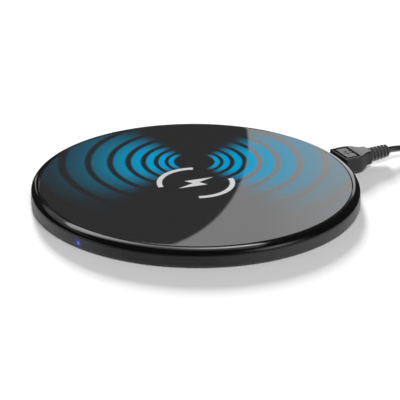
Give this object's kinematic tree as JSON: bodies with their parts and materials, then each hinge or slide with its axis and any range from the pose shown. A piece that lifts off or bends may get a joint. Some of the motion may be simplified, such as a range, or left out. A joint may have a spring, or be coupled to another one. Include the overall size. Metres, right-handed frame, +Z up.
{
  "type": "wireless charging pad",
  "caption": "Slim round wireless charging pad with a gloss plate, bevelled shoulder, matt base, status light and a detachable USB lead.",
  "frame": {"origin": "centre of the round pad on the surface that its feet stand on", "axes": "+Z up, out of the charging plate; +Y from the pad's centre through its power port and along the plug; +X to the right seen from behind the front, with +Y away"},
  "size_m": [0.1431, 0.1676, 0.0085],
  "materials": {
    "gloss_plate": "polished black, with a silver printed mark and faint blue printed rings",
    "gloss_shoulder": "piano black",
    "matt_shell": "fine spark-eroded texture, black",
    "foot_rubber": "matt black rubber",
    "plug_grip": "satin black moulding",
    "jacket": "smooth black jacket",
    "strap": "woven black strap",
    "black_film": "adhesive film",
    "board": "green solder mask",
    "copper": "enamelled copper litz",
    "ferrite": "sintered dark grey",
    "chip": "moulded epoxy",
    "capacitor": "ceramic body",
    "steel": "nickel-plated steel",
    "gold": "gold-plated contacts",
    "insulator": "moulded nylon, black",
    "light_pipe": "clear, lit blue",
    "blue_light": "lit blue"
  },
  "bodies": {
    "pad": {"base_tray": "matt_shell", "shoulder_ring": "gloss_shoulder", "top_plate": "gloss_plate", "plate_tape": "black_film", "foot_1": "foot_rubber", "foot_2": "foot_rubber", "foot_3": "foot_rubber", "foot_4": "foot_rubber", "case_screw_1": "steel", "case_screw_2": "steel", "case_screw_3": "steel", "case_screw_4": "steel", "circuit_board": "board", "ferrite_shield": "ferrite", "coil_film": "black_film", "charging_coil": "copper", "coil_lead_inner": "copper", "coil_lead_outer": "copper", "controller_chip": "chip", "bridge_chip_1": "chip", "bridge_chip_2": "chip", "resonance_capacitor_1": "capacitor", "resonance_capacitor_2": "capacitor", "resonance_capacitor_3": "capacitor", "resonance_capacitor_4": "capacitor", "input_choke": "chip", "status_lamp": "blue_light", "status_light_pipe": "light_pipe", "port_shell": "steel", "port_tongue": "insulator"},
    "lead": {"micro_plug_shell": "steel", "micro_plug_insert": "insulator", "micro_plug_grip": "plug_grip", "micro_strain_relief": "jacket", "lead_near": "jacket", "lead_winding": "jacket", "lead_tie": "strap", "lead_far": "jacket", "usb_strain_relief": "jacket", "usb_plug_grip": "plug_grip", "usb_plug_shell": "steel", "usb_plug_tongue": "insulator", "usb_contact_1": "gold", "usb_contact_2": "gold", "usb_contact_3": "gold", "usb_contact_4": "gold"}
  },
  "joints": [
    {"name": "plug_pull", "type": "slide", "parent": "pad", "child": "lead", "axis": [0, 1, 0], "range_m": [0, 0.012]}
  ]
}
